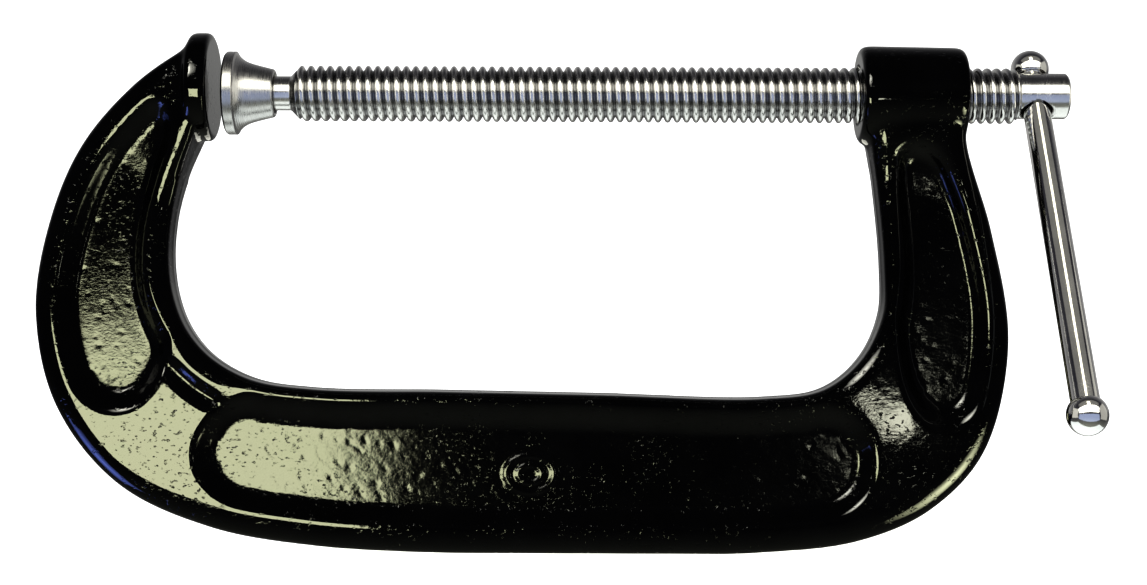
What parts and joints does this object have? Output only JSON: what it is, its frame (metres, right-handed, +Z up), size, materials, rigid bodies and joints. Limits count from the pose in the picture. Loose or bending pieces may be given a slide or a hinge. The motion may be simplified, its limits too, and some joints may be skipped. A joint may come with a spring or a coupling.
{
  "type": "c clamp",
  "caption": "Cast C clamp with a fixed round anvil, a long threaded screw in a boss, a swivel pad on a ball nose, and a sliding bar handle with ball ends.",
  "frame": {"origin": "on the screw axis at the anvil's clamping face", "axes": "+X along the screw from the anvil to the handle, +Z up away from the spine, Y across the casting"},
  "size_m": [0.2699, 0.0734, 0.1361],
  "materials": {
    "black_enamel": "gloss enamel over a cast skin",
    "turned_steel": "bright, thread-rolled",
    "satin_steel": "satin, turned",
    "spring_steel": "drawn wire",
    "polished_steel": "bright plated"
  },
  "bodies": {
    "frame": {"frame": "black_enamel"},
    "carriage": {"pad_retaining_ring": "spring_steel"},
    "screw": {"screw": "turned_steel"},
    "pad": {"swivel_pad": "satin_steel"},
    "handle": {"handle_bar": "polished_steel", "handle_ball_top": "polished_steel", "handle_ball_bottom": "polished_steel"}
  },
  "joints": [
    {"name": "screw_feed", "type": "slide", "parent": "frame", "child": "carriage", "axis": [1, 0, 0], "range_m": [-0.0026, 0.149]},
    {"name": "screw_turn", "type": "hinge", "parent": "carriage", "child": "screw", "pos_m": [0, 0, 0], "axis": [1, 0, 0], "range_deg": [-375, 21457]},
    {"name": "pad_tilt", "type": "hinge", "parent": "carriage", "child": "pad", "pos_m": [0.0092, 0, 0], "axis": [0, 1, 0], "range_deg": [-4, 4]},
    {"name": "handle_slide", "type": "slide", "parent": "screw", "child": "handle", "axis": [0, 0.5592, 0.829], "range_m": [0, 0.0878]}
  ],
  "couplings": [
    {"joint": "screw_turn", "follows": "screw_feed", "rad_per_m": 2513.3}
  ]
}
